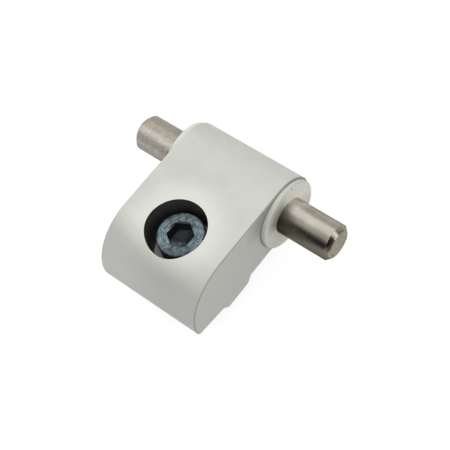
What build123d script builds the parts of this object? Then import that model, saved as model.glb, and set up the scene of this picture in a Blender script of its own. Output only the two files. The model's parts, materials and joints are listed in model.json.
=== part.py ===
from build123d import *
from math import radians, sqrt, tan
import os

os.makedirs("parts", exist_ok=True)

# One leaf of a lift-off hinge, in millimetres.
# The origin is where the screw's axis leaves the key's underside. +X runs along the hinge pin,
# +Y from the nose of the leaf to its barrel, and +Z out of the rail towards the screw's head.

# Leaf: an aluminium extrusion, cut to length along the hinge pin. Its nose is one arc from the flat
# top round to the foot, and NOSE_RELIEF is how far the underside rises from the key to that foot.
LEAF_WIDTH = 25.0
BARREL_DIA = 16.3
HINGE_REACH = 17.4
NOSE_REACH = 12.4
NOSE_CENTRE_HEIGHT = 5.3
NOSE_RELIEF = 1.1
FOOT_RADIUS = 0.9
EDGE_BREAK = 0.2

# Key: the low ridge that sits in the rail's slot
KEY_HEIGHT = 1.6
KEY_FOOT_WIDTH = 6.5
KEY_ROOT_WIDTH = 9.2

# Socket head cap screw
SCREW_DIA = 6.0
SCREW_LENGTH = 12.0
SCREW_TIP_CHAMFER = 0.7
HEAD_DIA = 10.0
HEAD_HEIGHT = 6.0
HEAD_ROUND = 0.45
SOCKET_FLATS = 5.0
SOCKET_DEPTH = 3.0
SOCKET_TURN = 27.0
SOCKET_LEAD_IN = 0.25
DRILL_POINT = 118.0

# Counterbored screw hole in the leaf, in which the loose screw leans towards the barrel
SCREW_HOLE_CLEARANCE = 0.5
LEANING_GAP = 0.1
HEAD_CLEARANCE = 1.5
FLOOR_THICKNESS = 7.0

# Hinge pin, with a shallow groove where each bushing's lip holds it end-wise. It stands out a
# little further at the +X end.
PIN_DIA = 8.0
PIN_LENGTH = 50.8
PIN_SHIFT = 0.35
PIN_CHAMFER = 0.8
PIN_GROOVE_WIDTH = 0.6
PIN_GROOVE_DEPTH = 0.2

# Flanged bushings, one pressed into each end of the barrel
BUSHING_WALL = 1.0
BUSHING_SLEEVE = 9.0
FLANGE_THICKNESS = 1.0
FLANGE_OVERHANG = 2.7
FLANGE_ROUND = 0.2
PIN_RUNNING_CLEARANCE = 0.03
LIP_END_CLEARANCE = 0.05

# Places and sizes that follow from the ones above
BARREL_Z = BARREL_DIA / 2
TOP_Z = BARREL_DIA
FOOT_Z = KEY_HEIGHT + NOSE_RELIEF
HEAD_TOP_Z = FLOOR_THICKNESS + HEAD_HEIGHT
SCREW_Y = SCREW_HOLE_CLEARANCE - LEANING_GAP
BUSHING_BORE = PIN_DIA + 2 * PIN_RUNNING_CLEARANCE
BUSHING_DIA = BUSHING_BORE + 2 * BUSHING_WALL
FLANGE_DIA = BUSHING_DIA + 2 * FLANGE_OVERHANG
FLANGE_FACE_X = LEAF_WIDTH / 2 + FLANGE_THICKNESS
GROOVE_X = FLANGE_FACE_X - PIN_GROOVE_WIDTH


def along_hinge(x):
    """A plane across the hinge axis at x, with its normal along the axis."""
    return Plane((x, HINGE_REACH, BARREL_Z), x_dir=(0, 1, 0), z_dir=(1, 0, 0))


def across_screw(z):
    """A plane across the screw's axis at height z, with its normal pointing up."""
    return Plane((0, SCREW_Y, z))


def leaf_section():
    """The extrusion's outline, drawn with Y to the right and Z up."""
    nose_radius = TOP_Z - NOSE_CENTRE_HEIGHT
    nose_y = nose_radius - NOSE_REACH
    nose_front = (-NOSE_REACH, NOSE_CENTRE_HEIGHT)
    foot = (nose_y - sqrt(nose_radius**2 - (NOSE_CENTRE_HEIGHT - FOOT_Z) ** 2), FOOT_Z)
    with BuildSketch(Plane.YZ) as section:
        with BuildLine():
            ThreePointArc((nose_y, TOP_Z), nose_front, foot)
            Polyline(
                foot,
                (-KEY_ROOT_WIDTH / 2, KEY_HEIGHT),
                (-KEY_FOOT_WIDTH / 2, 0),
                (KEY_FOOT_WIDTH / 2, 0),
                (KEY_ROOT_WIDTH / 2, KEY_HEIGHT),
                (HINGE_REACH, KEY_HEIGHT),
                (HINGE_REACH, TOP_Z),
                (nose_y, TOP_Z),
            )
        make_face()
        fillet(section.vertices().sort_by_distance(Vector(*foot))[0], FOOT_RADIUS)
        with Locations((HINGE_REACH, BARREL_Z)):
            Circle(BARREL_DIA / 2)
    return section.sketch


def hinge_body():
    """The leaf, with its barrel bored for the bushings and its counterbored screw hole."""
    with BuildPart() as leaf:
        extrude(leaf_section(), amount=LEAF_WIDTH / 2, both=True)
        ends = leaf.faces().sort_by(Axis.X)
        chamfer(ends[0].edges() + ends[-1].edges(), EDGE_BREAK)
        with BuildSketch(along_hinge(-LEAF_WIDTH / 2)):
            Circle(BUSHING_DIA / 2)
        extrude(amount=LEAF_WIDTH, mode=Mode.SUBTRACT)
        with Locations((0, 0, TOP_Z)):
            CounterBoreHole(
                radius=SCREW_DIA / 2 + SCREW_HOLE_CLEARANCE,
                counter_bore_radius=HEAD_DIA / 2 + HEAD_CLEARANCE,
                counter_bore_depth=TOP_Z - FLOOR_THICKNESS,
            )
    return leaf.part


def bushing(side):
    """A flanged sleeve with its flange flat against the barrel; side is 1 for +X and -1 for -X."""
    inner_end = along_hinge(LEAF_WIDTH / 2 - BUSHING_SLEEVE)
    lip_bore = BUSHING_BORE - 2 * PIN_GROOVE_DEPTH
    lip_start = GROOVE_X + LIP_END_CLEARANCE
    with BuildPart() as sleeve:
        with BuildSketch(inner_end):
            Circle(BUSHING_DIA / 2)
        extrude(amount=BUSHING_SLEEVE)
        with BuildSketch(along_hinge(LEAF_WIDTH / 2)):
            Circle(FLANGE_DIA / 2)
        extrude(amount=FLANGE_THICKNESS)
        rim = sleeve.edges().filter_by(GeomType.CIRCLE).sort_by(Axis.X)[-1]
        fillet(rim, FLANGE_ROUND)
        with BuildSketch(inner_end):
            Circle(BUSHING_BORE / 2)
        extrude(amount=lip_start - (LEAF_WIDTH / 2 - BUSHING_SLEEVE), mode=Mode.SUBTRACT)
        with BuildSketch(inner_end):
            Circle(lip_bore / 2)
        extrude(amount=BUSHING_SLEEVE + FLANGE_THICKNESS, mode=Mode.SUBTRACT)
    if side < 0:
        return mirror(sleeve.part, about=Plane.YZ)
    return sleeve.part


def hinge_pin():
    """The pin, chamfered at both ends and grooved at each bushing's lip."""
    with BuildPart() as pin:
        with BuildSketch(along_hinge(PIN_SHIFT - PIN_LENGTH / 2)):
            Circle(PIN_DIA / 2)
        extrude(amount=PIN_LENGTH)
        chamfer(pin.edges().filter_by(GeomType.CIRCLE), PIN_CHAMFER)
        for groove_start in (GROOVE_X, -FLANGE_FACE_X):
            with BuildSketch(along_hinge(groove_start)):
                Circle(PIN_DIA / 2)
                Circle(PIN_DIA / 2 - PIN_GROOVE_DEPTH, mode=Mode.SUBTRACT)
            extrude(amount=PIN_GROOVE_WIDTH, mode=Mode.SUBTRACT)
    return pin.part


def cap_screw():
    """The fastening screw, its head on the counterbore's floor and its tip out under the key."""
    socket_corner = SOCKET_FLATS / sqrt(3)
    lead_in_radius = socket_corner + SOCKET_LEAD_IN
    lead_in_height = lead_in_radius - SOCKET_FLATS / 2
    point_height = SOCKET_FLATS / 2 / tan(radians(DRILL_POINT / 2))
    with BuildPart() as screw:
        with BuildSketch(across_screw(FLOOR_THICKNESS)):
            Circle(HEAD_DIA / 2)
        extrude(amount=HEAD_HEIGHT)
        fillet(screw.edges().sort_by(Axis.Z)[-1], HEAD_ROUND)
        with BuildSketch(across_screw(FLOOR_THICKNESS)):
            Circle(SCREW_DIA / 2)
        extrude(amount=-SCREW_LENGTH)
        chamfer(screw.edges().sort_by(Axis.Z)[0], SCREW_TIP_CHAMFER)
        with BuildSketch(across_screw(HEAD_TOP_Z)):
            RegularPolygon(SOCKET_FLATS / 2, 6, major_radius=False, rotation=SOCKET_TURN)
        extrude(amount=-SOCKET_DEPTH, mode=Mode.SUBTRACT)
        with Locations((0, SCREW_Y, HEAD_TOP_Z - SOCKET_DEPTH - point_height / 2)):
            Cone(0, SOCKET_FLATS / 2, point_height, mode=Mode.SUBTRACT)
        with Locations((0, SCREW_Y, HEAD_TOP_Z - lead_in_height / 2)):
            Cone(SOCKET_FLATS / 2, lead_in_radius, lead_in_height, mode=Mode.SUBTRACT)
    return screw.part


PIECES = {
    "hinge_body": hinge_body(),
    "bushing_right": bushing(1),
    "bushing_left": bushing(-1),
    "hinge_pin": hinge_pin(),
    "cap_screw": cap_screw(),
}

for name, shape in PIECES.items():
    export_step(shape, f"parts/{name}.step")
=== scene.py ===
# %% [markdown]
# This is one leaf of a lift-off hinge, dressed for a photograph. The packed model gives five rigid
# pieces in metres: an aluminium leaf, two plastic bushings, a steel pin and a cap screw. They could
# be modelled again here, but their shapes and places are right already. So the script keeps them
# and gives them their looks. Only the screw gets a new mesh, because the solids leave out its
# thread and its knurl. The script starts by clearing what a fresh Blender file holds.

import bpy
import json
from math import cos, pi, radians, sin
from mathutils import Matrix, Vector

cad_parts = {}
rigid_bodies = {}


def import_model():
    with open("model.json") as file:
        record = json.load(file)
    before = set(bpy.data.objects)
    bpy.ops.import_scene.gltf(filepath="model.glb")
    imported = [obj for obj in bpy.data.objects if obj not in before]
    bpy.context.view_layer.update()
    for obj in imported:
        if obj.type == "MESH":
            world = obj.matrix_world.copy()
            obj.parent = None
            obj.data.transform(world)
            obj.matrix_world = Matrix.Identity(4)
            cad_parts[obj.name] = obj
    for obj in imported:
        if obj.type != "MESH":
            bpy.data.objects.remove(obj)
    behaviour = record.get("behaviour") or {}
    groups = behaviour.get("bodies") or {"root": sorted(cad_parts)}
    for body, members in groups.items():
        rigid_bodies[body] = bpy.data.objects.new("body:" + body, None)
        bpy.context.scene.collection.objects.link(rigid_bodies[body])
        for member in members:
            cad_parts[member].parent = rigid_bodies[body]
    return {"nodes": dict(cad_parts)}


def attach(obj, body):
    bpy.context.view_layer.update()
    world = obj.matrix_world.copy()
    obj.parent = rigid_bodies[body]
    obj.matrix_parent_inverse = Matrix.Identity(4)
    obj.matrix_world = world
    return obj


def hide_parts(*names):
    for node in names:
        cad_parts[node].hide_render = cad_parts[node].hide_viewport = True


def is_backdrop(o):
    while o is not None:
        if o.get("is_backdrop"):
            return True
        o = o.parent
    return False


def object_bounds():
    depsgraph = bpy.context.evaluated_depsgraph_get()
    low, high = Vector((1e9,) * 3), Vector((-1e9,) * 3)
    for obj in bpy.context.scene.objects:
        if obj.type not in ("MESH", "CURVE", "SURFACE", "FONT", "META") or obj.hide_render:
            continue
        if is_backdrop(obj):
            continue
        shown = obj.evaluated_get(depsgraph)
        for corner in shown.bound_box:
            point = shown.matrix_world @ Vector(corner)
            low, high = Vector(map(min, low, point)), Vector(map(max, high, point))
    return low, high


for leftover in list(bpy.data.objects):
    bpy.data.objects.remove(leftover)

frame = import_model()
cad_low, cad_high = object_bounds()
nodes = frame["nodes"]
print("pieces", sorted(nodes), "box", tuple(cad_low), tuple(cad_high))

# %% [markdown]
# The camera stands where the photograph was taken from: to the right of the leaf's nose and well
# above it, rolled a little so that the pin runs down to the right. It could be placed by its own
# x, y and z, but a point to aim at, two angles and a distance are easier to read. A long lens keeps
# the two ends of the pin nearly the same size. A small shift puts the hinge left of the middle.

# %% Camera
MM = 0.001
VIEW_AIM = Vector((2.83, 7.16, 4.45)) * MM
VIEW_DISTANCE = 236.92 * MM
VIEW_AZIMUTH = radians(56.71)
VIEW_ELEVATION = radians(59.65)
VIEW_ROLL = radians(-20.88)
LENS_LENGTH = 92.2
LENS_SHIFT = (0.0113, 0.0249)
NEAREST_SEEN = 0.01
FARTHEST_SEEN = 20.0

level = cos(VIEW_ELEVATION)
sideways = sin(VIEW_AZIMUTH) * level
backwards = cos(VIEW_AZIMUTH) * level
toward_camera = Vector((sideways, -backwards, sin(VIEW_ELEVATION)))
upright = toward_camera.to_track_quat("Z", "Y").to_matrix().to_4x4()
camera_data = bpy.data.cameras.new("photo_camera")
camera_data.lens = LENS_LENGTH
camera_data.shift_x, camera_data.shift_y = LENS_SHIFT
camera_data.clip_start = NEAREST_SEEN
camera_data.clip_end = FARTHEST_SEEN
camera = bpy.data.objects.new("photo_camera", camera_data)
bpy.context.scene.collection.objects.link(camera)
stand = Matrix.Translation(VIEW_AIM + toward_camera * VIEW_DISTANCE)
camera.matrix_world = stand @ upright @ Matrix.Rotation(VIEW_ROLL, 4, "Z")
bpy.context.scene.camera = camera
print("camera stands at", tuple(round(c / MM, 1) for c in camera.location), "mm")

# %% [markdown]
# Every finish below is a tree of nodes. It could be wired by hand in the shader editor, but a
# script can be read, changed and run again. Five short helpers keep it readable. A value that is
# another node's output is linked, and a plain number or colour is written on the socket.

# %% Helpers for node trees
def add_node(tree, kind, inputs=None, **settings):
    """Adds a node, sets what it is set to, and fills its inputs with numbers or links."""
    node = tree.nodes.new(kind)
    for name, value in settings.items():
        setattr(node, name, value)
    for name, value in (inputs or {}).items():
        if isinstance(value, bpy.types.NodeSocket):
            tree.links.new(value, node.inputs[name])
        else:
            node.inputs[name].default_value = value
    return node


def sums(tree, operation, *values):
    """A Math node's result for one or two numbers or outputs."""
    return add_node(tree, "ShaderNodeMath", dict(enumerate(values)), operation=operation).outputs[0]


def band(tree, value, edges, levels=(0.0, 1.0)):
    """Takes a value smoothly from one level to another between two edges."""
    names = ("From Min", "From Max", "To Min", "To Max")
    inputs = {"Value": value, **dict(zip(names, (*edges, *levels)))}
    mapped = add_node(tree, "ShaderNodeMapRange", inputs, interpolation_type="SMOOTHSTEP")
    return mapped.outputs["Result"]


def mix_colours(tree, share, first, second):
    """A colour between two, by a share from 0 to 1."""
    node = add_node(tree, "ShaderNodeMix", data_type="RGBA")
    sockets = (node.inputs[0], node.inputs[6], node.inputs[7])
    for socket, value in zip(sockets, (share, first, second)):
        if isinstance(value, bpy.types.NodeSocket):
            tree.links.new(value, socket)
        else:
            socket.default_value = (*value, 1.0) if isinstance(value, tuple) else value
    return node.outputs[2]


def new_material(name, **constants):
    """A material with its Principled shader, and the plain values written on the sockets."""
    material = bpy.data.materials.new(name)
    material.use_nodes = True
    shader = material.node_tree.nodes["Principled BSDF"]
    for socket, value in constants.items():
        shader.inputs[socket.replace("_", " ")].default_value = value
    return material, material.node_tree, shader


print("helpers ready in Blender", bpy.app.version_string)

# %% [markdown]
# The hinge lies under large soft lights, as in a product studio. The sky is a world colour, bright
# above and behind the barrel and dark low down in front of the nose, which round steel shows as one
# bright band beside a dark one. A picture of a studio could do the same, but here the bands lie
# where they are put. A soft key lamp over the far side adds the highlight, and a fill lamp above
# the near corner keeps the nose and the sawn end from going grey.

# %% Soft light
BRIGHT_SIDE = Vector((0.0, 0.64, 0.77)).normalized()
SKY_LEVELS = (0.025, 0.77)
SKY_FALLOFF = (-0.14, 0.45)
WHITE = (1.0, 1.0, 1.0, 1.0)
LAMPS = {
    "key_lamp": {"side": Vector((-0.44, 0.34, 0.83)), "far": 0.60, "size": 0.48, "power": 0.60},
    "fill_lamp": {"side": Vector((0.42, -0.52, 0.74)), "far": 0.60, "size": 0.35, "power": 1.5},
}

world = bpy.data.worlds.new("studio_sky")
world.use_nodes = True
sky = world.node_tree
look = add_node(sky, "ShaderNodeTexCoord").outputs["Generated"]
facing = add_node(sky, "ShaderNodeVectorMath", {0: look, 1: BRIGHT_SIDE}, operation="DOT_PRODUCT")
brightness = band(sky, facing.outputs["Value"], SKY_FALLOFF, SKY_LEVELS)
sky.nodes["Background"].inputs["Color"].default_value = WHITE
sky.links.new(brightness, sky.nodes["Background"].inputs["Strength"])
bpy.context.scene.world = world

for name, lamp in LAMPS.items():
    side = lamp["side"].normalized()
    lamp_data = bpy.data.lights.new(name, "AREA")
    lamp_data.size = lamp["size"]
    lamp_data.energy = lamp["power"]
    lamp_piece = bpy.data.objects.new(name, lamp_data)
    bpy.context.scene.collection.objects.link(lamp_piece)
    turned = side.to_track_quat("Z", "Y").to_matrix().to_4x4()
    lamp_piece.matrix_world = Matrix.Translation(VIEW_AIM + side * lamp["far"]) @ turned
print("lamps", ", ".join(LAMPS))

# %% [markdown]
# The floor lies just under the screw's tip, the hinge's lowest point. A white floor would be the
# plain way to a white background, but it throws so much light back up that the underside of
# everything goes pale. So the floor is a mid grey, with a glow that only the camera and the rays
# that metal and glass send out can see. The glow is even, so the hinge's soft shadow stays.

# %% Floor
FLOOR_SIZE = 6.0
FLOOR_GAP = 0.02 * MM
FLOOR_GREY = (0.26, 0.26, 0.26, 1.0)
FLOOR_LIFT = (0.82, 0.82, 0.82)
NO_GLOW = (0.0, 0.0, 0.0)
FLOOR_CORNERS = ((-1, -1), (1, -1), (1, 1), (-1, 1))

floor_mesh = bpy.data.meshes.new("floor")
floor_z = cad_low.z - FLOOR_GAP
floor_points = [(x * FLOOR_SIZE / 2, y * FLOOR_SIZE / 2, floor_z) for x, y in FLOOR_CORNERS]
floor_mesh.from_pydata(floor_points, [], [(0, 1, 2, 3)])
floor_piece = bpy.data.objects.new("floor", floor_mesh)
bpy.context.scene.collection.objects.link(floor_piece)
floor_material, tree, shader = new_material(
    "white_floor",
    Base_Color=FLOOR_GREY,
    Roughness=0.9,
    Specular_IOR_Level=0.0,
    Emission_Strength=1.0,
)
rays = add_node(tree, "ShaderNodeLightPath").outputs
mirrored = sums(tree, "MAXIMUM", rays["Is Glossy Ray"], rays["Is Transmission Ray"])
seen = sums(tree, "MAXIMUM", rays["Is Camera Ray"], mirrored)
tree.links.new(mix_colours(tree, seen, NO_GLOW, FLOOR_LIFT), shader.inputs["Emission Color"])
floor_material.cycles.emission_sampling = "NONE"
floor_mesh.materials.append(floor_material)
floor_piece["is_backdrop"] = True
bpy.context.scene.view_settings.view_transform = "Standard"
print("floor at", round(floor_z / MM, 2), "mm")

# %% [markdown]
# Fine grain is what blasting, moulding and black oxide leave: small bumps of one size, with a slow
# cloudiness over them. All four finishes use it, so it is a node group, built once and placed with
# other sizes each time. It takes the place and the two sizes in metres, and gives a height for the
# bumps and two masks.

# %% Group: fine grain
NUMBER = "NodeSocketFloat"
PLACE = "NodeSocketVector"
GRAIN_NOISE = {"Detail": 3.0, "Roughness": 0.6}
CLOUD_NOISE = {"Detail": 4.0, "Roughness": 0.55}
CLOUD_SPREAD = (0.3, 0.7)


def new_group(name, inputs, outputs):
    """A shader node group with named sockets. Each input is a (name, kind, value)."""
    tree = bpy.data.node_groups.new(name, "ShaderNodeTree")
    for label, kind, value in inputs:
        socket = tree.interface.new_socket(label, in_out="INPUT", socket_type=kind)
        if value is not None:
            socket.default_value = value
    for label in outputs:
        tree.interface.new_socket(label, in_out="OUTPUT", socket_type=NUMBER)
    start = tree.nodes.new("NodeGroupInput")
    end = tree.nodes.new("NodeGroupOutput")
    return tree, start.outputs, end.inputs


def scaled_noise(tree, place, size, settings):
    """Noise whose blobs are about as large as size, in metres."""
    inputs = {"Vector": place, "Scale": sums(tree, "DIVIDE", 1.0, size), **settings}
    return add_node(tree, "ShaderNodeTexNoise", inputs).outputs["Fac"]


grain_group, given, result = new_group(
    "fine_grain",
    [("Place", PLACE, None), ("Grain Size", NUMBER, 0.2 * MM), ("Cloud Size", NUMBER, 4 * MM)],
    ["Height", "Grain", "Clouds"],
)
grains = scaled_noise(grain_group, given["Place"], given["Grain Size"], GRAIN_NOISE)
clouds = scaled_noise(grain_group, given["Place"], given["Cloud Size"], CLOUD_NOISE)
grain_height = sums(grain_group, "MULTIPLY", grains, given["Grain Size"])
grain_group.links.new(grain_height, result["Height"])
grain_group.links.new(grains, result["Grain"])
grain_group.links.new(band(grain_group, clouds, CLOUD_SPREAD), result["Clouds"])
print("group", grain_group.name, "has", len(grain_group.nodes), "nodes")

# %% [markdown]
# Turning and grinding leave fine rings round an axis. They could be a wave texture, but its rings
# are all alike. Noise that changes only with the distance gives rings that never quite repeat. The
# group takes how far along or out from the axis a point lies, and the rings' spacing, in metres.

# %% Group: turned rings
ring_group, given, result = new_group(
    "turned_rings",
    [("Distance", NUMBER, 0.0), ("Spacing", NUMBER, 0.2 * MM)],
    ["Height", "Rings"],
)
counted = sums(ring_group, "DIVIDE", given["Distance"], given["Spacing"])
ring_noise = add_node(
    ring_group,
    "ShaderNodeTexNoise",
    {"W": counted, "Scale": 1.0, "Detail": 2.0},
    noise_dimensions="1D",
).outputs["Fac"]
ring_height = sums(ring_group, "MULTIPLY", ring_noise, given["Spacing"])
ring_group.links.new(ring_noise, result["Rings"])
ring_group.links.new(ring_height, result["Height"])
print("group", ring_group.name, "has", len(ring_group.nodes), "nodes")

# %% [markdown]
# Handling rubs the sharp edges first. They could be found by their place, but a Bevel node finds
# them on any shape: it looks a short way round each point, and where the normal that it gives
# differs from the true one, an edge is near. The group takes that reach and gives a mask.

# %% Group: rubbed edges
EDGE_AGREEMENT = (0.995, 0.85)
BEVEL_LOOKS = 4

edge_group, given, result = new_group("rubbed_edges", [("Reach", NUMBER, 0.2 * MM)], ["Edge"])
looked = add_node(edge_group, "ShaderNodeBevel", {"Radius": given["Reach"]}, samples=BEVEL_LOOKS)
true_normal = add_node(edge_group, "ShaderNodeNewGeometry").outputs["Normal"]
agree = add_node(
    edge_group,
    "ShaderNodeVectorMath",
    {0: looked.outputs["Normal"], 1: true_normal},
    operation="DOT_PRODUCT",
)
found = band(edge_group, agree.outputs["Value"], EDGE_AGREEMENT)
edge_group.links.new(found, result["Edge"])
print("group", edge_group.name, "has", len(edge_group.nodes), "nodes")

# %% [markdown]
# A finish starts plain and gets one layer of wear, dirt, painted light or painted shade after
# another. Each layer is a mask and a colour. A small class keeps the tree, the colour so far and
# the place on the piece together, so that a layer takes one or two lines. Places and normals are
# the piece's own, so wear and painted light stay on the pin and the screw when they turn.

# %% A finish while it is made
class Finish:
    """A material's tree and shader, its colour so far, and where a point lies on the piece."""

    def __init__(self, name, **constants):
        self.material, self.tree, self.shader = new_material(name, **constants)
        coordinates = add_node(self.tree, "ShaderNodeTexCoord").outputs
        self.place = coordinates["Object"]
        self.x, self.y, self.z = self.parts(self.place)
        self.nx, self.ny, self.nz = self.parts(coordinates["Normal"])
        self.colour = None

    def parts(self, vector):
        """The x, y and z of a vector."""
        return add_node(self.tree, "ShaderNodeSeparateXYZ", {0: vector}).outputs

    def sums(self, operation, *values):
        """A Math node's result."""
        return sums(self.tree, operation, *values)

    def band(self, value, edges, levels=(0.0, 1.0)):
        """Takes a value smoothly from one level to another between two edges."""
        return band(self.tree, value, edges, levels)

    def where_all(self, first, *others):
        """The product of masks, high only where all of them are."""
        for other in others:
            first = self.sums("MULTIPLY", first, other)
        return first

    def where_any(self, first, *others):
        """The highest of some masks."""
        for other in others:
            first = self.sums("MAXIMUM", first, other)
        return first

    def window(self, value, rise, fall):
        """High where a value lies between a rise and a fall."""
        return self.where_all(self.band(value, rise), self.band(value, fall))

    def between(self, share, first, second):
        """A colour between two, by a share from 0 to 1."""
        return mix_colours(self.tree, share, first, second)

    def lay(self, share, colour):
        """Lays a colour over the colour so far."""
        self.colour = self.between(share, self.colour, colour)

    def group(self, group, **inputs):
        """Places a group, with its inputs by name, and gives its outputs."""
        named = {name.replace("_", " "): value for name, value in inputs.items()}
        return add_node(self.tree, "ShaderNodeGroup", named, node_tree=group).outputs

    def bump(self, height, strength, after=None):
        """A normal from a height in metres, laid over another normal if one is given."""
        inputs = {"Height": height, "Strength": strength, "Distance": 1.0}
        if after is not None:
            inputs["Normal"] = after
        return add_node(self.tree, "ShaderNodeBump", inputs).outputs["Normal"]

    def connect(self, **ends):
        """Links the colour, and other results by their sockets' names, to the shader."""
        for socket, value in {"Base Color": self.colour, **ends}.items():
            self.tree.links.new(value, self.shader.inputs[socket])
        print("material", self.material.name, "has", len(self.tree.nodes), "nodes")


print("a finish can", ", ".join(name for name in vars(Finish) if name[0] != "_"))

# %% [markdown]
# Much on this hinge is round: the hole, the flanges, the pin and the screw. So most masks ask how
# far out from an axis a point lies, and on which side. Blender's gradient textures could answer
# that, but plain sums in metres are easier to check against the drawing.

# %% Places round an axis
PIN_AXIS = (17.4 * MM, 8.15 * MM)
HOLE_AXIS = (0.0, 0.0)
SCREW_AXIS = (0.0, 0.4 * MM)


class Around:
    """Where a point lies round an axis, which goes through centre, an (across, up) pair."""

    def __init__(self, finish, across, up, centre):
        self.finish = finish
        self.across = finish.sums("SUBTRACT", across, centre[0])
        self.up = finish.sums("SUBTRACT", up, centre[1])
        squares = [finish.sums("MULTIPLY", part, part) for part in (self.across, self.up)]
        self.distance = finish.sums("SQRT", finish.sums("ADD", *squares))

    def to_side(self, angle):
        """How far a point lies to one side of the axis. The side is an angle in degrees."""
        across = self.finish.sums("MULTIPLY", self.across, cos(radians(angle)))
        up = self.finish.sums("MULTIPLY", self.up, sin(radians(angle)))
        return self.finish.sums("ADD", across, up)

    def toward(self, angle):
        """1 on one side of the axis, 0 beside it and -1 on the other side."""
        return self.finish.sums("DIVIDE", self.to_side(angle), self.distance)


print("pin axis at y and z", PIN_AXIS)

# %% [markdown]
# The leaf is an aluminium extrusion, blasted with fine beads and clear anodised. That gives a pale,
# slightly warm grey that is half metal and half chalk, so Metallic stays low. A paler zone round
# the hole and a thin pale line on its rim are painted highlight. The nose is painted paler than
# the flat top as painted light, and darker again towards the near end as painted shade. Each
# could be painted on a picture, but masks in metres need none and stay sharp from close up.

# %% Leaf: blasted aluminium
ALUMINIUM = (0.575, 0.585, 0.54)
ALUMINIUM_WARM = (0.62, 0.622, 0.57)
ALUMINIUM_PAINTED_NOSE_LIGHT = (0.67, 0.68, 0.64)
ALUMINIUM_PAINTED_NOSE_SHADE = (0.575, 0.585, 0.545)
ALUMINIUM_PAINTED_HIGHLIGHT = (0.76, 0.77, 0.705)
NOSE_FADE = (-6 * MM, -9 * MM)
NOSE_SHADE_FADE = (-9 * MM, 5 * MM)
HOLE_HIGHLIGHT_REACH = (13 * MM, 7 * MM)
HOLE_HIGHLIGHT_SHARE = (0.0, 0.65)
HOLE_HIGHLIGHT_FADE = (-9 * MM, -5 * MM)
RIM_REACH = (6.70 * MM, 6.58 * MM)
RIM_SHARE = (0.0, 0.8)

leaf = Finish("anodised_aluminium_blasted", Metallic=0.28)
blasted = leaf.group(grain_group, Place=leaf.place, Grain_Size=0.16 * MM, Cloud_Size=5 * MM)
leaf.colour = leaf.between(blasted["Clouds"], ALUMINIUM, ALUMINIUM_WARM)
# painted light makes the nose paler, and painted shade darkens it again towards the near end
on_nose = leaf.band(leaf.y, NOSE_FADE)
leaf.lay(on_nose, ALUMINIUM_PAINTED_NOSE_LIGHT)
leaf.lay(leaf.where_all(on_nose, leaf.band(leaf.x, NOSE_SHADE_FADE)), ALUMINIUM_PAINTED_NOSE_SHADE)
from_hole = Around(leaf, leaf.x, leaf.y, HOLE_AXIS).distance
# painted highlight: a paler zone round the hole and a thin pale line on its rim
hole_highlight_zone = leaf.band(from_hole, HOLE_HIGHLIGHT_REACH, HOLE_HIGHLIGHT_SHARE)
rubbed = leaf.where_all(hole_highlight_zone, leaf.band(leaf.y, HOLE_HIGHLIGHT_FADE))
rim_highlight = leaf.band(from_hole, RIM_REACH, RIM_SHARE)
leaf.lay(leaf.where_any(rubbed, rim_highlight), ALUMINIUM_PAINTED_HIGHLIGHT)
print("leaf has its blasted surface")

# %% [markdown]
# The leaf was sawn off a long bar, so its two ends are cut faces with broken edges. The near one is
# in plain view, with painted shade: a thin dark line round it, a painted shadow beside the flange,
# and a dark seam where the flange sits on it. The far end only shows a pale edge by its flange. The
# masks come from how squarely the surface faces the end, and from the distance to the pin's axis.

# %% Leaf: sawn ends
SAWN_END = (0.58, 0.59, 0.545)
SAWN_PAINTED_SHADOW = (0.40, 0.41, 0.372)
PAINTED_CUT_EDGE_SHADE = (0.30, 0.31, 0.28)
PAINTED_SEAM_SHADE = (0.17, 0.175, 0.16)
FAR_EDGE = (0.70, 0.71, 0.645)
SAWN_FACING = (0.9, 0.97)
EDGE_RISE = (0.3, 0.5)
EDGE_FALL = (0.97, 0.9)
SHADOW_SIDE = 132
SHADOW_SPREAD = (0.75, 1.0)
SHADOW_REACH = (14.0 * MM, 8.5 * MM)
NEAR_HALF = (-1 * MM, 1 * MM)
NEAR_SHARE = (0.0, 0.8)
SEAM_RADIUS = (8.02 * MM, 7.82 * MM)
FAR_EDGE_FADE = (-12.10 * MM, -12.25 * MM)
FAR_EDGE_REACH = (14 * MM, 9 * MM)

round_pin = Around(leaf, leaf.y, leaf.z, PIN_AXIS)
endward = leaf.sums("ABSOLUTE", leaf.nx)
sawn = leaf.band(endward, SAWN_FACING)
# painted shadow on the near end face beside the flange
shadow_side = leaf.band(round_pin.toward(SHADOW_SIDE), SHADOW_SPREAD)
shade_by_flange = leaf.where_all(shadow_side, leaf.band(round_pin.distance, SHADOW_REACH))
leaf.lay(sawn, leaf.between(shade_by_flange, SAWN_END, SAWN_PAINTED_SHADOW))
near_end = leaf.band(leaf.x, NEAR_HALF, NEAR_SHARE)
# painted shade: a thin dark line round the near end, and a dark seam under the flange
leaf.lay(leaf.where_all(leaf.window(endward, EDGE_RISE, EDGE_FALL), near_end), PAINTED_CUT_EDGE_SHADE)
leaf.lay(leaf.where_all(sawn, leaf.band(round_pin.distance, SEAM_RADIUS), near_end), PAINTED_SEAM_SHADE)
far_edge = leaf.band(leaf.x, FAR_EDGE_FADE)
leaf.lay(leaf.where_all(far_edge, leaf.band(round_pin.distance, FAR_EDGE_REACH)), FAR_EDGE)
print("leaf has its sawn ends")

# %% [markdown]
# The counterbore was milled after blasting. Its wall is painted nearly black with painted shade,
# darker still further down, and its flat floor is painted bright with painted light. It could be a
# second material on its own faces, but a mask by distance from the hole's axis needs no change to
# the mesh.

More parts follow.
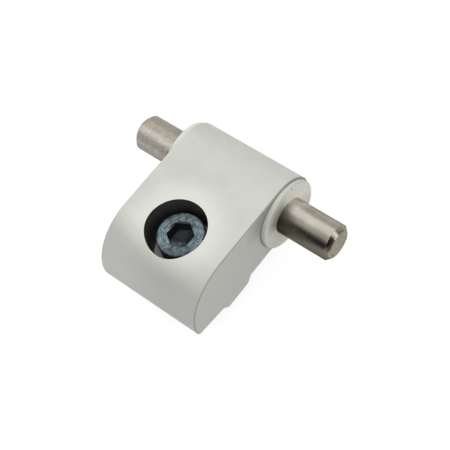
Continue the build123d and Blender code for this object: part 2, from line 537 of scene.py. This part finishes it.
# %% Leaf: milled hole
PAINTED_WALL_SHADE = (0.05, 0.05, 0.048)
PAINTED_DEEP_SHADE = (0.014, 0.014, 0.014)
PAINTED_BORE_FLOOR_LIGHT = (0.95, 0.94, 0.90)
WALL_HEIGHTS = (10.5 * MM, 15.0 * MM)
FLOOR_FACING = (0.8, 0.95)
BORE_REACH = (6.56 * MM, 6.54 * MM)
GRAIN_SPREAD = (0.3, 0.7)
BLASTED_ROUGHNESS = (0.42, 0.58)

# painted shade on the counterbore's wall, darker further down; painted light on its floor
wall = leaf.between(leaf.band(leaf.z, WALL_HEIGHTS), PAINTED_DEEP_SHADE, PAINTED_WALL_SHADE)
painted_bore = leaf.between(leaf.band(leaf.nz, FLOOR_FACING), wall, PAINTED_BORE_FLOOR_LIGHT)
leaf.lay(leaf.band(from_hole, BORE_REACH), painted_bore)
leaf.connect(
    Roughness=leaf.band(blasted["Grain"], GRAIN_SPREAD, BLASTED_ROUGHNESS),
    Normal=leaf.bump(blasted["Height"], strength=0.35),
)

# %% [markdown]
# The bushings are injection moulded in an off-white plastic, smooth and slightly warm. Painted
# shade makes the rim of the near flange greyer than its face, and its rounded edge a darker line.
# The far flange shows only its rim, with lighter painted shade, so it stays pale. A mask by x tells
# the two apart, so one material serves both.

# %% Bushing: moulded plastic
PLASTIC = (0.90, 0.895, 0.80)
PLASTIC_WARM = (0.90, 0.86, 0.77)
PLASTIC_PAINTED_RIM_SHADE = (0.56, 0.57, 0.505)
PLASTIC_PAINTED_EDGE_SHADE = (0.60, 0.605, 0.54)
PLASTIC_PAINTED_FAR_RIM_SHADE = (0.735, 0.75, 0.68)
RIM_FACING = (0.96, 0.6)
RIM_EDGE_RISE = (0.2, 0.5)
RIM_EDGE_FALL = (0.99, 0.9)

bushing = Finish("bushing_plastic_moulded", IOR=1.5)
moulded = bushing.group(grain_group, Place=bushing.place, Grain_Size=0.3 * MM, Cloud_Size=3 * MM)
bushing.colour = bushing.between(moulded["Clouds"], PLASTIC, PLASTIC_WARM)
near_end = bushing.band(bushing.x, NEAR_HALF)
endward = bushing.sums("ABSOLUTE", bushing.nx)
# painted shade: the flanges' rims and rounded edges greyer than their faces
on_rim = bushing.band(endward, RIM_FACING)
on_rim_edge = bushing.window(endward, RIM_EDGE_RISE, RIM_EDGE_FALL)
bushing.lay(on_rim, bushing.between(near_end, PLASTIC_PAINTED_FAR_RIM_SHADE, PLASTIC_PAINTED_RIM_SHADE))
bushing.lay(on_rim_edge, bushing.between(near_end, PLASTIC_PAINTED_FAR_RIM_SHADE, PLASTIC_PAINTED_EDGE_SHADE))
print("bushing has its plastic")

# %% [markdown]
# Painted shadow darkens one side of the flange, strongest beside the pin. The seam against the
# leaf is dark with painted shade, and there is one small speck on the near face. The mould was
# turned, so faint rings run round the flange, too shallow for more than a bump.

# %% Bushing: painted shadow and seam shade, speck and rings
FLANGE_PAINTED_SHADOW = (0.41, 0.415, 0.355)
FLANGE_SHADOW_REACH = (8.0 * MM, 4.8 * MM)
FLANGE_SHADOW_SPREAD = (0.62, 0.98)
SEAM_FADE = (12.68 * MM, 12.52 * MM)
SEAM_SHARE = (0.0, 0.8)
SPECK = (0.12, 0.12, 0.10)
SPECK_PLACE = (19.91 * MM, 14.94 * MM)
SPECK_REACH = (0.28 * MM, 0.12 * MM)
SPECK_SHARE = (0.0, 0.8)
MOULDED_ROUGHNESS = (0.38, 0.5)

round_pin = Around(bushing, bushing.y, bushing.z, PIN_AXIS)
from_speck = Around(bushing, bushing.y, bushing.z, SPECK_PLACE).distance
bushing.lay(bushing.where_all(bushing.band(from_speck, SPECK_REACH, SPECK_SHARE), near_end), SPECK)
# painted shade along the flange's seam against the leaf
bushing.lay(bushing.where_all(bushing.band(bushing.x, SEAM_FADE, SEAM_SHARE), near_end), PAINTED_SEAM_SHADE)
# painted shadow on one side of the flange, strongest beside the pin
flange_shadow_side = bushing.band(round_pin.toward(SHADOW_SIDE), FLANGE_SHADOW_SPREAD)
bushing.lay(bushing.where_all(bushing.band(round_pin.distance, FLANGE_SHADOW_REACH), flange_shadow_side), FLANGE_PAINTED_SHADOW)
mould_rings = bushing.group(ring_group, Distance=round_pin.distance, Spacing=0.35 * MM)
ringed = bushing.bump(mould_rings["Height"], strength=0.10)
bushing.connect(
    Roughness=bushing.band(moulded["Grain"], GRAIN_SPREAD, MOULDED_ROUGHNESS),
    Normal=bushing.bump(moulded["Height"], strength=0.12, after=ringed),
)

# %% [markdown]
# The pin is drawn stainless steel, ground round. A painted dark reflection makes it darker on the
# side towards the nose. Close to the near flange painted shade makes that side darker still, and
# painted light makes the other side paler. These could be masks by height, but on a cylinder the
# normal tells the sides apart more simply. The steel's glancing shine would be too white, so a
# tint on the Specular socket dims it everywhere.

# %% Pin: ground steel, painted dark reflection, painted shade and light
STEEL = (0.43, 0.405, 0.355)
STEEL_DARK = (0.36, 0.335, 0.285)
STEEL_PAINTED_DARK_REFLECTION = (0.15, 0.135, 0.11)
STEEL_GLANCING = (0.45, 0.43, 0.39, 1.0)
STEEL_PAINTED_FLANGE_SHADE = (0.07, 0.063, 0.052)
STEEL_PAINTED_FLANGE_LIGHT = (0.66, 0.63, 0.57)
DARK_REFLECTION_SIDE = (-0.35, -0.85)
DARK_REFLECTION_SHARE = (0.0, 0.95)
FLANGE_FADE = (18 * MM, 14 * MM)
BY_FLANGE_SHARE = (0.0, 0.85)
BY_FLANGE_SIDE = (-0.05, -0.45)
OVER_FLANGE_SIDE = (-0.05, 0.35)

pin = Finish("pin_steel_ground", Specular_Tint=STEEL_GLANCING)
drawn = pin.group(grain_group, Place=pin.place, Grain_Size=0.12 * MM, Cloud_Size=2.2 * MM)
pin.colour = pin.between(drawn["Clouds"], STEEL, STEEL_DARK)
# painted dark reflection on the side towards the nose
pin.lay(pin.band(pin.ny, DARK_REFLECTION_SIDE, DARK_REFLECTION_SHARE), STEEL_PAINTED_DARK_REFLECTION)
# painted shade by the near flange on that side, painted light on the other side
shade_by_flange = pin.band(pin.x, FLANGE_FADE, BY_FLANGE_SHARE)
pin.lay(pin.where_all(shade_by_flange, pin.band(pin.ny, BY_FLANGE_SIDE)), STEEL_PAINTED_FLANGE_SHADE)
over_flange = pin.band(pin.x, FLANGE_FADE)
pin.lay(pin.where_all(over_flange, pin.band(pin.ny, OVER_FLANGE_SIDE)), STEEL_PAINTED_FLANGE_LIGHT)
print("pin has its ground surface")

# %% [markdown]
# The far end has been through a mating leaf more often, so it is dull, scuffed and a little
# tarnished. Scuffed steel scatters light, so its highlight is no clear band any more. A painted
# highlight stands in for it as a pale streak that the tarnish breaks up, with small rust specks,
# mostly towards the nose.

# %% Pin: scuffed far end
STEEL_SCUFFED = (0.41, 0.38, 0.325)
TARNISH = (0.32, 0.285, 0.225)
STEEL_PAINTED_HIGHLIGHT = (0.78, 0.75, 0.675)
RUST_SPECK = (0.17, 0.135, 0.09)
SCUFFED_FADE = (-12 * MM, -14 * MM)
STREAK_RISE = (-0.04, -0.42)
STREAK_FALL = (-1.2, -0.45)
WHOLE_RANGE = (0.0, 1.0)
STREAK_LEFT = (1.0, 0.75)
RUST_GRAINS = (0.52, 0.36)
RUST_SIDE = (-0.4, -0.6)
RUST_SHARE = (0.1, 0.35)

spots = pin.group(grain_group, Place=pin.place, Grain_Size=0.35 * MM, Cloud_Size=0.8 * MM)
dull = pin.between(spots["Clouds"], STEEL_SCUFFED, TARNISH)
# painted highlight: a pale streak along the scuffed far end
highlight_streak = pin.window(pin.ny, STREAK_RISE, STREAK_FALL)
highlight_streak = pin.where_all(highlight_streak, pin.band(spots["Clouds"], WHOLE_RANGE, STREAK_LEFT))
dull = pin.between(highlight_streak, dull, STEEL_PAINTED_HIGHLIGHT)
rusty = pin.band(spots["Grain"], RUST_GRAINS)
rusty = pin.where_all(rusty, pin.band(pin.ny, RUST_SIDE, RUST_SHARE))
dull = pin.between(rusty, dull, RUST_SPECK)
scuffed = pin.band(pin.x, SCUFFED_FADE)
pin.lay(scuffed, dull)
print("pin has its scuffed end")

# %% [markdown]
# The ends were turned: rings run round the middle of each face, mottled by the sawn skin. On the
# near face, a little way in from the chamfer's edge, lie painted dark reflections and a painted
# highlight: a dark patch on the side towards the nose, a thin dark line on the other side of the
# top, and a bright glint between them. The three are alike but for their place, so a table holds
# what differs.

# %% Pin: end faces
STEEL_END = (0.50, 0.46, 0.39)
STEEL_END_DARK = (0.26, 0.24, 0.20)
END_PAINTED_DARK_REFLECTION = (0.10, 0.09, 0.075)
END_FACING = (0.5, 0.9)
END_MOTTLE = (0.8, 1.2)
NEAR_FACE = (0.0, 1 * MM)
GLINT_SIDE = 92
FACE_MARKS = {
    "patch": {"side": 124, "spread": (0.84, 0.95), "reach": (2.40 * MM, 2.60 * MM)},
    "line": {"side": 72, "spread": (0.80, 0.95), "reach": (2.90 * MM, 3.05 * MM)},
    "glint": {"side": GLINT_SIDE, "spread": (0.97, 0.99), "reach": (2.60 * MM, 2.85 * MM)},
}

round_pin = Around(pin, pin.y, pin.z, PIN_AXIS)
near_end = pin.band(pin.x, NEAR_FACE)
marks = {}
for name, mark in FACE_MARKS.items():
    out_far = pin.band(round_pin.distance, mark["reach"])
    on_side = pin.band(round_pin.toward(mark["side"]), mark["spread"])
    marks[name] = pin.where_all(out_far, on_side, near_end)
end_rings = pin.group(ring_group, Distance=round_pin.distance, Spacing=0.12 * MM)
mottled = pin.band(pin.sums("ADD", end_rings["Rings"], spots["Grain"]), END_MOTTLE)
end_colour = pin.between(mottled, STEEL_END, STEEL_END_DARK)
# painted dark reflections (patch and line) and a painted highlight (glint) on the near face
end_colour = pin.between(pin.where_any(marks["patch"], marks["line"]), end_colour, END_PAINTED_DARK_REFLECTION)
end_colour = pin.between(marks["glint"], end_colour, STEEL_PAINTED_HIGHLIGHT)
endward = pin.sums("ABSOLUTE", pin.nx)
on_end = pin.band(endward, END_FACING)
pin.lay(on_end, end_colour)
print("marks on the near face:", ", ".join(marks))

# %% [markdown]
# The near chamfer has a painted dark reflection on the side towards the nose, with the same
# painted highlight beside it.
# Grinding rings run round the whole pin, and the ends have their turned rings instead, so a Mix
# node picks one height or the other before the bump. Scuffing makes the far end rougher and takes
# away half of its metal look.

# %% Pin: chamfer, rings and roughness
CHAMFER_PAINTED_DARK_REFLECTION = (0.06, 0.054, 0.045)
CHAMFER_RISE = (0.5, 0.6)
CHAMFER_FALL = (0.85, 0.78)
GLINT_SPREAD = (0.97, 0.995)
CHAMFER_DARK_FADE = (0.0, -0.2)
CHAMFER_DARK_LOW_SIDE = (-0.66, -0.5)
CHAMFER_DARK_LOW_SHARE = (0.5, 1.0)
GROUND_ROUGHNESS = (0.19, 0.29)
SCUFFED_ROUGHER = 0.12
SCUFFED_LESS_METAL = 0.5

on_chamfer = pin.where_all(pin.window(endward, CHAMFER_RISE, CHAMFER_FALL), near_end)
# painted highlight on the near chamfer
glint = pin.band(round_pin.toward(GLINT_SIDE), GLINT_SPREAD)
pin.lay(pin.where_all(on_chamfer, glint), STEEL_PAINTED_HIGHLIGHT)
# painted dark reflection on the near chamfer, towards the nose
chamfer_dark_reflection = pin.where_all(on_chamfer, pin.band(pin.ny, CHAMFER_DARK_FADE))
chamfer_dark_reflection = pin.where_all(chamfer_dark_reflection, pin.band(pin.ny, CHAMFER_DARK_LOW_SIDE, CHAMFER_DARK_LOW_SHARE))
pin.lay(chamfer_dark_reflection, CHAMFER_PAINTED_DARK_REFLECTION)
ground = pin.group(ring_group, Distance=pin.x, Spacing=0.07 * MM)
heights = {"Factor": on_end, "A": ground["Height"], "B": end_rings["Height"]}
ring_heights = add_node(pin.tree, "ShaderNodeMix", heights).outputs["Result"]
roughness = pin.band(ground["Rings"], GRAIN_SPREAD, GROUND_ROUGHNESS)
pin.connect(
    Roughness=pin.sums("ADD", roughness, pin.sums("MULTIPLY", scuffed, SCUFFED_ROUGHER)),
    Metallic=pin.sums("SUBTRACT", 1.0, pin.sums("MULTIPLY", scuffed, SCUFFED_LESS_METAL)),
    Normal=pin.bump(drawn["Height"], strength=0.10, after=pin.bump(ring_heights, strength=0.12)),
)

# %% [markdown]
# The cap screw is black oxide steel with a trace of oil. Its socket needs other colours than its
# top, so the first step is to find it. It could be picked by faces, but the finish has to fit the
# mesh that is built further down, so it goes by place: inside the hexagon's corners, and either
# below the shallow dish or on an upright wall.

# %% Screw: where its socket is
SOCKET_REACH = (3.03 * MM, 2.98 * MM)
WALL_FACING = (0.8, 0.3)
DISH_LOWEST = (12.78 * MM, 12.60 * MM)
DARK_SIDE = 123

cap = Finish("screw_steel_black_oxide", Metallic=0.85)
round_screw = Around(cap, cap.x, cap.y, SCREW_AXIS)
on_wall = cap.band(cap.nz, WALL_FACING)
under_dish = cap.where_any(cap.band(cap.z, DISH_LOWEST), on_wall)
in_socket = cap.where_all(cap.band(round_screw.distance, SOCKET_REACH), under_dish)
to_dark_side = round_screw.to_side(DARK_SIDE)
print("the socket's dark side lies at", DARK_SIDE, "degrees")

# %% [markdown]
# The forged head is mottled in blue-grey, and turning adds rings to the mottling. Two layers would
# each show on their own, so the clouds of the grain and the rings are added up, and the sum goes
# from a dark oxide to a pale one. The two sides that catch the light get a painted sheen.

# %% Screw: mottled oxide
OXIDE = (0.085, 0.118, 0.13)
OXIDE_PALE = (0.28, 0.37, 0.395)
OXIDE_PAINTED_SHEEN = (0.32, 0.42, 0.445)
MOTTLE_SPREAD = (0.5, 1.5)
SHEEN_SIDE = 33
SHEEN_SPREAD = (0.35, 0.95)
SHEEN_SHARE = (0.0, 0.35)

oxidised = cap.group(grain_group, Place=cap.place, Grain_Size=0.22 * MM, Cloud_Size=0.8 * MM)
head_rings = cap.group(ring_group, Distance=round_screw.distance, Spacing=0.22 * MM)
mottle = cap.band(cap.sums("ADD", oxidised["Clouds"], head_rings["Rings"]), MOTTLE_SPREAD)
cap.colour = cap.between(mottle, OXIDE, OXIDE_PALE)
# painted sheen on two opposite sides of the head
lit_sides = cap.sums("ABSOLUTE", round_screw.toward(SHEEN_SIDE))
cap.lay(cap.band(lit_sides, SHEEN_SPREAD, SHEEN_SHARE), OXIDE_PAINTED_SHEEN)
print("screw has its mottled top")

# %% [markdown]
# Pits, a broken dark line where the dish begins and painted shade on the low side share one dark
# colour. As three layers they would darken one another, so only the strongest of their masks
# counts. The rubbed edges come last, outside the socket only.

# %% Screw: pits, dish line, painted shade and rubbed edges
OXIDE_PIT_AND_PAINTED_SHADE = (0.04, 0.05, 0.055)
OXIDE_RUBBED = (0.34, 0.38, 0.39)
PIT_GRAINS = (0.46, 0.38)
PIT_SHARE = (0.0, 0.75)
LOW_SIDE = (-1.5 * MM, -4.5 * MM)
LOW_SHARE = (0.0, 0.68)
DISH_RADIUS = 3.5 * MM
DISH_LINE = (0.2 * MM, 0.04 * MM)
LINE_BREAKS = (0.2, 0.8)
LINE_SHARE = (0.1, 0.75)
RUBBED_MOST = 0.5

pits = cap.group(grain_group, Place=cap.place, Grain_Size=0.4 * MM, Cloud_Size=1.5 * MM)
edges = cap.group(edge_group, Reach=0.12 * MM)
from_dish = cap.sums("ABSOLUTE", cap.sums("SUBTRACT", round_screw.distance, DISH_RADIUS))
broken = cap.band(pits["Clouds"], LINE_BREAKS, LINE_SHARE)
dish_line = cap.where_all(cap.band(from_dish, DISH_LINE), broken)
pitted = cap.band(pits["Grain"], PIT_GRAINS, PIT_SHARE)
# painted shade on the head's low side
painted_low_shade = cap.band(to_dark_side, LOW_SIDE, LOW_SHARE)
cap.lay(cap.where_any(pitted, painted_low_shade, dish_line), OXIDE_PIT_AND_PAINTED_SHADE)
outside_socket = cap.sums("SUBTRACT", 1.0, in_socket)
cap.lay(cap.where_all(edges["Edge"], RUBBED_MOST, outside_socket), OXIDE_RUBBED)
print("screw has its pits and rubbed edges")

# %% [markdown]
# The socket hides from the light, so painted shade makes its walls and the barrel's side of its
# bottom nearly black. The rest of the bottom is painted pale with painted light and is blotchy,
# with one bright painted glint. On the dark side painted shade makes the lip above dark too. It
# could be left to the lamps alone, but masks by place say exactly where the dark begins.

# %% Screw: socket
SOCKET_PAINTED_BOTTOM_LIGHT = (0.36, 0.47, 0.505)
SOCKET_BLOTCH = (0.16, 0.21, 0.225)
SOCKET_PAINTED_GLINT = (0.90, 0.92, 0.92)
OXIDE_PAINTED_SOCKET_SHADE = (0.035, 0.037, 0.04)
BLOTCH_GRAINS = (0.42, 0.60)
BLOTCH_SHARE = (0.0, 0.8)
GLINT_PLACE = (-0.75 * MM, -0.1 * MM)
GLINT_REACH = (0.40 * MM, 0.22 * MM)
DEEP_FADE = (-1.3 * MM, 0.8 * MM)
LIP_REACH = (3.2 * MM, 3.0 * MM)
LIP_FADE = (1.0 * MM, 2.0 * MM)
LIP_SHARE = 0.85
OXIDE_ROUGHNESS = (0.36, 0.55)

# painted light: the socket's bottom pale, with a painted glint
blotches = cap.band(oxidised["Grain"], BLOTCH_GRAINS, BLOTCH_SHARE)
bottom = cap.between(blotches, SOCKET_PAINTED_BOTTOM_LIGHT, SOCKET_BLOTCH)
from_glint = Around(cap, cap.x, cap.y, GLINT_PLACE).distance
cap.lay(in_socket, cap.between(cap.band(from_glint, GLINT_REACH), bottom, SOCKET_PAINTED_GLINT))
# painted shade: the socket's walls and the barrel's side of its bottom nearly black
deep = cap.where_any(on_wall, cap.band(to_dark_side, DEEP_FADE))
cap.lay(cap.where_all(in_socket, deep), OXIDE_PAINTED_SOCKET_SHADE)
# painted shade on the lip on the socket's dark side
lip_shade = cap.band(round_screw.distance, LIP_REACH)
cap.lay(cap.where_all(lip_shade, cap.band(to_dark_side, LIP_FADE), LIP_SHARE), OXIDE_PAINTED_SOCKET_SHADE)
turned_normal = cap.bump(head_rings["Height"], strength=0.15)
cap.connect(
    Roughness=cap.band(oxidised["Grain"], GRAIN_SPREAD, OXIDE_ROUGHNESS),
    Normal=cap.bump(oxidised["Height"], strength=0.5, after=turned_normal),
)

# %% [markdown]
# The leaf, the bushings and the pin are true to shape as they come, but their edges are perfectly
# sharp, and no real edge is. New meshes would lose their exact places, so modifiers do it: Weld
# joins the points that the import split, Bevel rounds every sharp edge by a few hundredths of a
# millimetre, and Weighted Normal keeps the flats flat.

# %% Soften the edges of the rigid pieces
WELD_REACH = 0.0005 * MM
BEVEL_STEPS = 2
SHARP_FROM = radians(28)
DRESSED = {
    "hinge_body": (leaf, "anodised_aluminium", 0.05 * MM),
    "bushing_right": (bushing, "bushing_plastic", 0.05 * MM),
    "bushing_left": (bushing, "bushing_plastic", 0.05 * MM),
    "hinge_pin": (pin, "pin_steel", 0.06 * MM),
}
for name, (finish, slot, rounding) in DRESSED.items():
    piece = nodes[name]
    weld = piece.modifiers.new("weld", "WELD")
    weld.merge_threshold = WELD_REACH
    bevel = piece.modifiers.new("soft_edges", "BEVEL")
    bevel.width = rounding
    bevel.segments = BEVEL_STEPS
    bevel.limit_method = "ANGLE"
    bevel.angle_limit = SHARP_FROM
    bevel.use_clamp_overlap = True
    flat = piece.modifiers.new("flat_faces", "WEIGHTED_NORMAL")
    flat.keep_sharp = False
    for material_slot in piece.material_slots:
        material_slot.material = finish.material
print("softened", ", ".join(DRESSED))

# %% [markdown]
# The cap screw gets its own mesh: a knurled head, a hexagon socket in a shallow dish, and a real
# thread. Cutting these with booleans would leave slivers, so the screw is a stack of rings round
# one axis. Each ring is a list of points, and faces join each ring to the next. The head's rings
# have three points for each one of the shank's, because the knurl is finer than the thread.

# %% Rings of points
HEAD_POINTS = 360
SHANK_POINTS = 120
SCREW_CENTRE = Vector((0.0, 0.4, 0.0))


class RingStack:
    """Points and faces of one piece, made ring by ring, in millimetres."""

    def __init__(self):
        self.points, self.faces, self.ring = [], [], []

    def add(self, count, shape):
        """A new ring of count points; shape gives (radius, height) for an angle."""
        first = len(self.points)
        for step in range(count):
            angle = 2 * pi * step / count
            radius, height = shape(angle)
            out = Vector((radius * cos(angle), radius * sin(angle), height))
            self.points.append(SCREW_CENTRE + out)
        new = list(range(first, first + count))
        if self.ring:
            self.join(self.ring, new)
        self.ring = new

    def add_round(self, count, radius, height):
        """A new ring that is round and level."""
        self.add(count, lambda angle: (radius, height))

    def join(self, old, new):
        """Faces between two rings, the first of which may have more points."""
        many = len(old) // len(new)
        for step in range(len(new)):
            nearer = [old[(step * many + extra) % len(old)] for extra in range(many + 1)]
            following = new[(step + 1) % len(new)]
            self.faces.append((*nearer, following, new[step]))

    def close(self, height):
        """Ends the stack in one point on the axis, with a fan of triangles."""
        self.points.append(SCREW_CENTRE + Vector((0, 0, height)))
        tip = len(self.points) - 1
        for step, corner in enumerate(self.ring):
            self.faces.append((corner, self.ring[(step + 1) % len(self.ring)], tip))


print("head ring", HEAD_POINTS, "points, shank ring", SHANK_POINTS)

# %% [markdown]
# Two things on the head aren't round: the hexagon and the knurl. Each is a function of the angle,
# so that a ring can follow it. The dish round the hexagon is a shallow cone, so its height is a
# function of the distance from the axis, and the hexagon's corners run out a little higher than
# its sides. The knurl's grooves fade out at both ends, as the roller leaves them.

# %% Shapes of the screw's head
HEAD_TOP = 13.0
HEAD_BOTTOM = 7.0
HEAD_RADIUS = 5.08
SOCKET_FLATS = 5.12
SOCKET_TURN = radians(27)
LEAD_IN_RADIUS = 3.5
LEAD_IN_SLOPE = 0.22
KNURL_TEETH = 72
KNURL_DEPTH = 0.16
KNURL_TOP = 12.25
KNURL_BOTTOM = 7.7
KNURL_FADE = 0.22


def hexagon(angle):
    """Distance from the axis to the socket's side at an angle."""
    sixth = pi / 3
    from_middle = (angle - SOCKET_TURN) % sixth - sixth / 2
    return SOCKET_FLATS / 2 / cos(from_middle)


def lead_in(radius):
    """Height of the shallow dish round the hexagon, at a distance from the axis."""
    return HEAD_TOP - (LEAD_IN_RADIUS - radius) * LEAD_IN_SLOPE


def knurled(angle, height):
    """Radius of the head's side, with grooves that fade out at both ends of the knurl."""
    inside = min(KNURL_TOP - height, height - KNURL_BOTTOM) / KNURL_FADE
    strength = max(0.0, min(1.0, inside))
    groove = abs(((angle * KNURL_TEETH / (2 * pi)) % 1) - 0.5) * 2
    return HEAD_RADIUS - KNURL_DEPTH * strength * (1 - groove)


print("hexagon from", SOCKET_FLATS / 2, "to", round(hexagon(SOCKET_TURN), 2), "mm from the axis")

# %% [markdown]
# The rings start on the axis in the drilled bottom of the socket and go up: the bottom, the
# hexagon's walls and the dish. Then come the flat top, its rounded edge, the knurled side and the
# seat under the head. Two rings close together make an edge slightly soft.

# %% Head of the screw
HEAD_ROUND = 0.45
ROUND_TURNS = (18, 36, 54, 72, 90)
SOCKET_FLOOR = 10.0
DRILL_DEPTH = 1.5
DRILL_RADIUS = 2.44
DRILL_EDGE_DEPTH = 0.03
DRILL_TIP_RADIUS = 0.35
DRILL_TIP_SHARE = 0.86
FLOOR_CORNER = 0.05
WALL_START = 0.06
WALL_END = 0.05
WALL_LIP = 0.04
DISH_EDGE = 0.05
TOP_EDGE = 0.02
KNURL_MIDDLES = (10.5, 9.0)
SEAT_EDGE = 0.25
SEAT_RADIUS = 3.3

screw = RingStack()
screw.points.append(SCREW_CENTRE + Vector((0, 0, SOCKET_FLOOR - DRILL_DEPTH)))
screw.add_round(HEAD_POINTS, DRILL_TIP_RADIUS, SOCKET_FLOOR - DRILL_DEPTH * DRILL_TIP_SHARE)
for step, corner in enumerate(screw.ring):
    screw.faces.append((0, corner, screw.ring[(step + 1) % HEAD_POINTS]))
screw.add_round(HEAD_POINTS, DRILL_RADIUS, SOCKET_FLOOR - DRILL_EDGE_DEPTH)
screw.add(HEAD_POINTS, lambda angle: (hexagon(angle) - FLOOR_CORNER, SOCKET_FLOOR))
screw.add(HEAD_POINTS, lambda angle: (hexagon(angle), SOCKET_FLOOR + WALL_START))
screw.add(HEAD_POINTS, lambda angle: (hexagon(angle), lead_in(hexagon(angle)) - WALL_END))
screw.add(
    HEAD_POINTS,
    lambda angle: (hexagon(angle) + WALL_LIP, lead_in(hexagon(angle) + WALL_LIP)),
)
screw.add_round(HEAD_POINTS, LEAD_IN_RADIUS - DISH_EDGE, lead_in(LEAD_IN_RADIUS - DISH_EDGE))
screw.add_round(HEAD_POINTS, LEAD_IN_RADIUS + DISH_EDGE, HEAD_TOP)
screw.add_round(HEAD_POINTS, HEAD_RADIUS - HEAD_ROUND - TOP_EDGE, HEAD_TOP)
for turn in ROUND_TURNS:
    out, up = sin(radians(turn)), cos(radians(turn))
    ring_radius = HEAD_RADIUS - HEAD_ROUND + HEAD_ROUND * out
    screw.add_round(HEAD_POINTS, ring_radius, HEAD_TOP - HEAD_ROUND + HEAD_ROUND * up)
knurl_starts = (KNURL_TOP, KNURL_TOP - KNURL_FADE)
knurl_ends = (KNURL_BOTTOM + KNURL_FADE, KNURL_BOTTOM)
for level in (*knurl_starts, *KNURL_MIDDLES, *knurl_ends):
    screw.add(HEAD_POINTS, lambda angle: (knurled(angle, level), level))
screw.add_round(HEAD_POINTS, HEAD_RADIUS, HEAD_BOTTOM + SEAT_EDGE)
screw.add_round(HEAD_POINTS, HEAD_RADIUS - SEAT_EDGE, HEAD_BOTTOM)
screw.add_round(HEAD_POINTS, SEAT_RADIUS, HEAD_BOTTOM)
print("head has", len(screw.points), "points")

# %% [markdown]
# The thread could be swept along a helix, but then it has to be joined to the shank. Here it is a
# height field round the shank: a point's radius depends only on how far it is along the pitch,
# counted together with its angle, so the groove climbs as a right-handed helix. It is cut inward
# from the full diameter and runs out at the chamfered tip.

# %% Shape of the thread
THREAD_PITCH = 1.0
THREAD_CREST = 2.97
THREAD_ROOT = 2.40
ROOT_FLAT = 0.25
CREST_FLAT = 0.86
SHANK_TIP = -5.0
TIP_CHAMFER = 0.75


def threaded(angle, height):
    """Radius of the thread at an angle and height."""
    along = (height / THREAD_PITCH - angle / (2 * pi)) % 1
    climb = (abs(along - 0.5) * 2 - ROOT_FLAT) / (CREST_FLAT - ROOT_FLAT)
    radius = THREAD_ROOT + (THREAD_CREST - THREAD_ROOT) * max(0.0, min(1.0, climb))
    return min(radius, THREAD_CREST - TIP_CHAMFER + (height - SHANK_TIP))


print("thread from", THREAD_ROOT, "to", THREAD_CREST, "mm from the axis")

# %% [markdown]
# Sixteen rings for each turn of the thread keep its flanks straight. Once the last ring is closed,
# the points and faces become a mesh. It takes the cap screw's place on the body that turns with
# it, and smooth shading stops at the sharp edges.

# %% Shank of the screw, and its mesh
NECK_RADIUS = 2.95
NECK_ROOT = 2.6
NECK_DEPTH = 0.3
THREAD_START = 6.5
ROWS_PER_PITCH = 16
TIP_RADIUS = 1.2
SCREW_SHARP_FROM = radians(34)

screw.add_round(SHANK_POINTS, NECK_RADIUS, HEAD_BOTTOM)
screw.add_round(SHANK_POINTS, NECK_ROOT, HEAD_BOTTOM - NECK_DEPTH)
rows = int((THREAD_START - SHANK_TIP) * ROWS_PER_PITCH)
for row in range(rows + 1):
    level = THREAD_START - row / ROWS_PER_PITCH
    screw.add(SHANK_POINTS, lambda angle: (threaded(angle, level), level))
screw.add_round(SHANK_POINTS, TIP_RADIUS, SHANK_TIP)
screw.close(SHANK_TIP)

screw_mesh = bpy.data.meshes.new("socket_head_screw")
screw_mesh.from_pydata([point * MM for point in screw.points], [], screw.faces)
screw_mesh.validate()
screw_mesh.shade_smooth()
screw_piece = bpy.data.objects.new("socket_head_screw", screw_mesh)
bpy.context.scene.collection.objects.link(screw_piece)
screw_mesh.materials.append(cap.material)
screw_mesh.set_sharp_from_angle(angle=SCREW_SHARP_FROM)
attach(screw_piece, "screw")
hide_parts("cap_screw")
print("screw has", len(screw_mesh.polygons), "faces")

# %% [markdown]
# Last, the size of the dressed hinge is set against the size that it had on import, and how much
# it grew is printed. The looks must not make the hinge any larger.

# %% Size of the dressed hinge
low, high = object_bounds()
grown = [round((a - b) / MM, 3) for a, b in zip([*cad_low, *high], [*low, *cad_high])]
print("grown by", grown, "mm")
